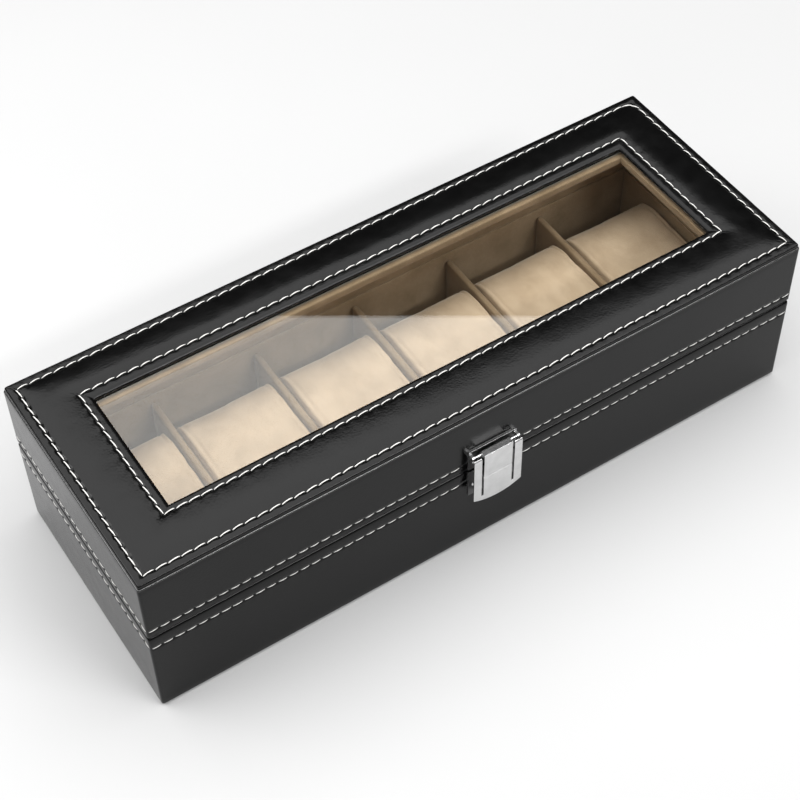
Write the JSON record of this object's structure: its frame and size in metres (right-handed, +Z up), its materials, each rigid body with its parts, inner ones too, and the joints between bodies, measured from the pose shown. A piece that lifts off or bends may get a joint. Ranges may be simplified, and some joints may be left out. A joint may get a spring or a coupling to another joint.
{
  "type": "watch box",
  "caption": "Long leather-covered watch case with a glass window in its hinged lid, velvet compartments with loose cushions, and a front flap latch.",
  "frame": {"origin": "middle of the underside, where the case stands on a surface", "axes": "+X along the case to the right, +Y to the hinges at the back, +Z up; the latch is at the front"},
  "size_m": [0.3, 0.119, 0.0804],
  "materials": {
    "black_leather": "satin",
    "beige_velvet": "matte",
    "black_felt": "matte",
    "fibreboard": "matte",
    "foam": "matte",
    "clear_glass": "polished",
    "black_tape": "matte",
    "latch_nickel": "satin",
    "hinge_steel": "satin"
  },
  "bodies": {
    "base": {"base_felt": "black_felt", "base_wall_leather": "black_leather", "base_floor_board": "fibreboard", "base_front_board": "fibreboard", "base_back_board": "fibreboard", "base_left_board": "fibreboard", "base_right_board": "fibreboard", "base_front_lining": "beige_velvet", "base_back_lining": "beige_velvet", "base_left_lining": "beige_velvet", "base_right_lining": "beige_velvet", "base_floor_lining": "beige_velvet", "divider_1": "beige_velvet", "divider_2": "beige_velvet", "divider_3": "beige_velvet", "divider_4": "beige_velvet", "divider_5": "beige_velvet", "hinge_left_base_leaf": "hinge_steel", "hinge_left_pin": "hinge_steel", "hinge_right_base_leaf": "hinge_steel", "hinge_right_pin": "hinge_steel", "hinge_base_screws": "hinge_steel", "latch_keeper": "latch_nickel", "latch_keeper_rivets": "latch_nickel"},
    "lid": {"lid_front_board": "fibreboard", "lid_back_board": "fibreboard", "lid_left_board": "fibreboard", "lid_right_board": "fibreboard", "lid_top_board": "fibreboard", "lid_wall_leather": "black_leather", "lid_top_foam": "foam", "lid_top_leather": "black_leather", "window_tape": "black_tape", "window_glass": "clear_glass", "lid_ceiling_velvet": "beige_velvet", "lid_front_lining": "beige_velvet", "lid_back_lining": "beige_velvet", "lid_left_lining": "beige_velvet", "lid_right_lining": "beige_velvet", "hinge_left_lid_leaf": "hinge_steel", "hinge_right_lid_leaf": "hinge_steel", "hinge_lid_screws": "hinge_steel", "latch_bracket": "latch_nickel", "latch_pin": "latch_nickel", "latch_bracket_rivets": "latch_nickel"},
    "latch_flap": {"latch_flap": "latch_nickel"},
    "cushion_1": {"cushion_1_cover": "beige_velvet", "cushion_1_filling": "foam"},
    "cushion_2": {"cushion_2_cover": "beige_velvet", "cushion_2_filling": "foam"},
    "cushion_3": {"cushion_3_cover": "beige_velvet", "cushion_3_filling": "foam"},
    "cushion_4": {"cushion_4_cover": "beige_velvet", "cushion_4_filling": "foam"},
    "cushion_5": {"cushion_5_cover": "beige_velvet", "cushion_5_filling": "foam"},
    "cushion_6": {"cushion_6_cover": "beige_velvet", "cushion_6_filling": "foam"}
  },
  "joints": [
    {"name": "lid_hinge", "type": "hinge", "parent": "base", "child": "lid", "pos_m": [0, 0.0573, 0.0468], "axis": [-1, 0, 0], "range_deg": [0, 95]},
    {"name": "latch_flap_hinge", "type": "hinge", "parent": "lid", "child": "latch_flap", "pos_m": [0, -0.0573, 0.0562], "axis": [-1, 0, 0], "range_deg": [0, 90]},
    {"name": "cushion_1_lift", "type": "slide", "parent": "base", "child": "cushion_1", "axis": [0, 0, 1], "range_m": [0, 0.025]},
    {"name": "cushion_2_lift", "type": "slide", "parent": "base", "child": "cushion_2", "axis": [0, 0, 1], "range_m": [0, 0.025]},
    {"name": "cushion_3_lift", "type": "slide", "parent": "base", "child": "cushion_3", "axis": [0, 0, 1], "range_m": [0, 0.025]},
    {"name": "cushion_4_lift", "type": "slide", "parent": "base", "child": "cushion_4", "axis": [0, 0, 1], "range_m": [0, 0.025]},
    {"name": "cushion_5_lift", "type": "slide", "parent": "base", "child": "cushion_5", "axis": [0, 0, 1], "range_m": [0, 0.025]},
    {"name": "cushion_6_lift", "type": "slide", "parent": "base", "child": "cushion_6", "axis": [0, 0, 1], "range_m": [0, 0.025]}
  ]
}
